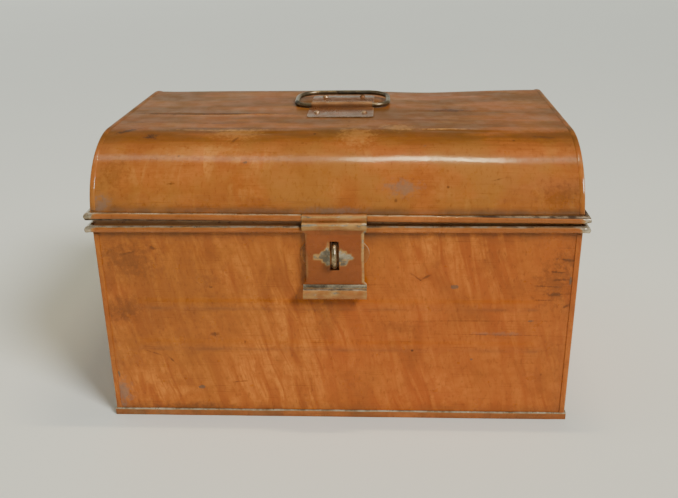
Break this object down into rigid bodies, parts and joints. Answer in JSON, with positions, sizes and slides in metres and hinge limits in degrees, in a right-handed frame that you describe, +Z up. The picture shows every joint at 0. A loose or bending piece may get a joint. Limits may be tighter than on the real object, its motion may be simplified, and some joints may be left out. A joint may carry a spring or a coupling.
{
  "type": "domed tin trunk",
  "caption": "Domed metal trunk with wired rims, a hinged lid, a hasp over a staple, and a wire carrying handle lying on the lid.",
  "frame": {"origin": "centre of the flat base", "axes": "+X to the right along the front, +Y to the hinged back, +Z up"},
  "size_m": [0.4684, 0.3739, 0.2861],
  "materials": {
    "grained_paint": "orange-brown wood-grained paint under satin varnish, worn at the edges",
    "lip_paint": "dark brown lacquer",
    "hasp_paint": "red-brown varnished paint, worn to metal at the rims",
    "handle_plate_paint": "worn brown paint over steel",
    "handle_wire": "dark steel wire, rubbed brown",
    "staple_steel": "bright rubbed steel",
    "iron_wire": "plain iron wire",
    "tinned_steel": "dull tinned steel",
    "rivet_steel": "steel with traces of paint"
  },
  "bodies": {
    "box": {"bottom_tray": "grained_paint", "front_panel": "grained_paint", "back_panel": "grained_paint", "left_end_panel": "grained_paint", "right_end_panel": "grained_paint", "body_rim_wire": "iron_wire", "front_dust_lip": "lip_paint", "left_dust_lip": "lip_paint", "right_dust_lip": "lip_paint", "staple": "staple_steel", "staple_plate": "grained_paint", "staple_clinch_plate": "tinned_steel", "left_hinge_body_leaf": "tinned_steel", "right_hinge_body_leaf": "tinned_steel", "left_hinge_body_rivets": "rivet_steel", "right_hinge_body_rivets": "rivet_steel", "left_hinge_pin": "iron_wire", "right_hinge_pin": "iron_wire"},
    "lid": {"lid_crown": "grained_paint", "lid_left_end": "grained_paint", "lid_right_end": "grained_paint", "lid_rim_wire": "iron_wire", "left_hinge_lid_leaf": "tinned_steel", "right_hinge_lid_leaf": "tinned_steel", "left_hinge_lid_rivets": "rivet_steel", "right_hinge_lid_rivets": "rivet_steel", "handle_plate": "handle_plate_paint", "handle_rivets": "rivet_steel", "handle_rivet_burrs": "tinned_steel"},
    "hasp": {"hasp": "hasp_paint"},
    "handle": {"handle_ring": "handle_wire"}
  },
  "joints": [
    {"name": "lid_hinge", "type": "hinge", "parent": "box", "child": "lid", "pos_m": [0, 0.17755, 0.2075], "axis": [-1, 0, 0], "range_deg": [0, 105]},
    {"name": "hasp_hinge", "type": "hinge", "parent": "lid", "child": "hasp", "pos_m": [0, -0.17755, 0.213], "axis": [-1, 0, 0], "range_deg": [0, 150]},
    {"name": "handle_swing", "type": "hinge", "parent": "lid", "child": "handle", "pos_m": [0, 0.0045, 0.2808], "axis": [1, 0, 0], "range_deg": [0, 177]}
  ]
}
